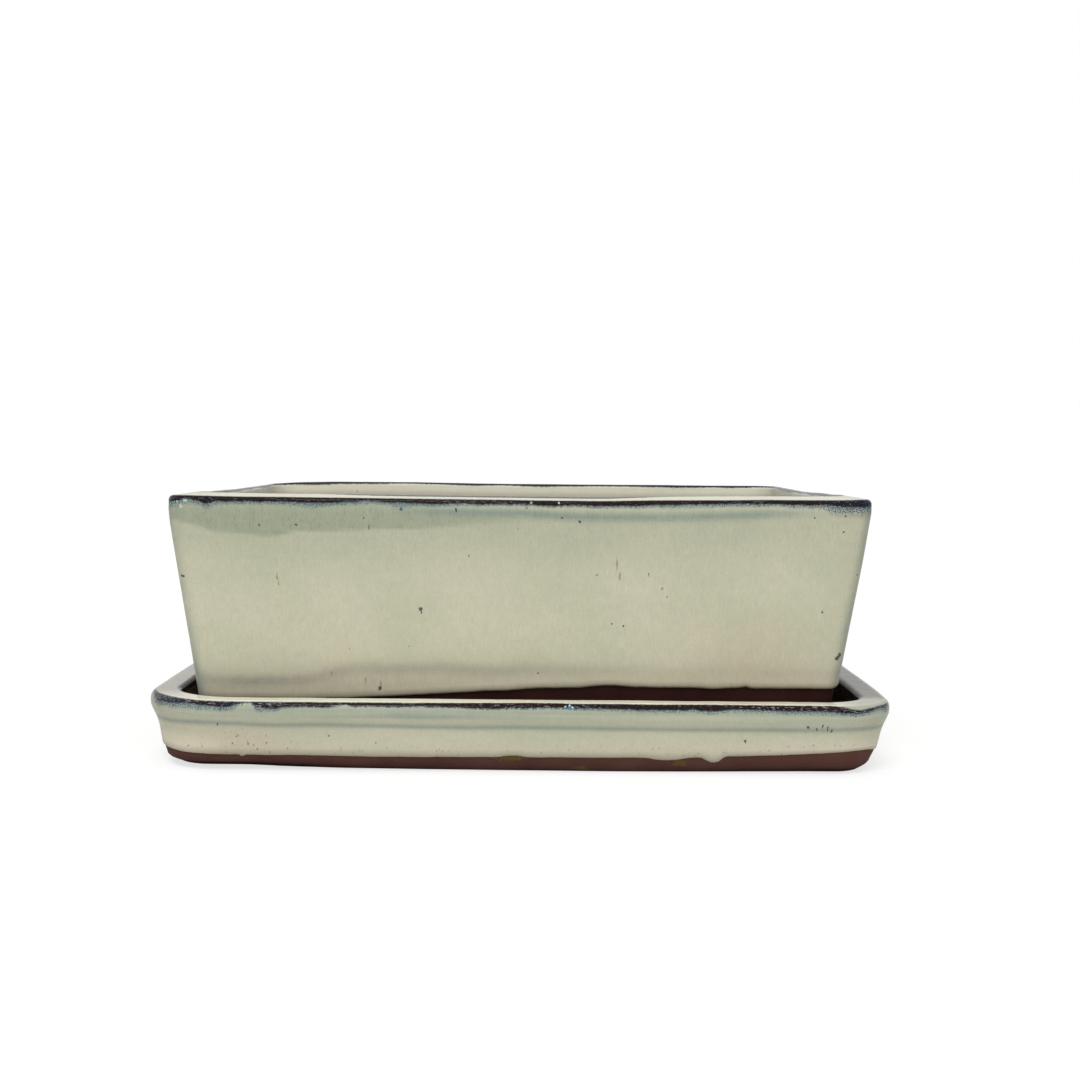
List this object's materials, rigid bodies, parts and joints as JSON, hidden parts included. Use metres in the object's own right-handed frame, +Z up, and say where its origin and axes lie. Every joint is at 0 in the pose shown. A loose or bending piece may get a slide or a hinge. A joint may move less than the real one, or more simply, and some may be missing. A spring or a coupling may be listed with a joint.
{
  "type": "rectangular bonsai pot with drip tray",
  "caption": "Tapered rectangular glazed stoneware bonsai pot on corner feet, with drain holes, standing in a matching shallow glazed drip tray with a bare clay foot.",
  "frame": {"origin": "on the table, under the middle of the tray", "axes": "+X along the long side, -Y out of the long front, +Z up"},
  "size_m": [0.2734, 0.221, 0.0989],
  "materials": {
    "red_clay": "unglazed iron-red stoneware, matt",
    "cream_glaze": "glossy cream to grey-green glaze that breaks dark brown and blue at the edges"
  },
  "bodies": {
    "tray": {"tray_body": "red_clay", "tray_glaze": "cream_glaze"},
    "pot": {"pot_body": "red_clay", "pot_glaze": "cream_glaze", "pot_foot_front_left": "red_clay", "pot_foot_front_right": "red_clay", "pot_foot_back_left": "red_clay", "pot_foot_back_right": "red_clay"}
  },
  "joints": [
    {"name": "pot_lift", "type": "slide", "parent": "tray", "child": "pot", "axis": [0, 0, 1], "range_m": [0, 0.08]}
  ]
}
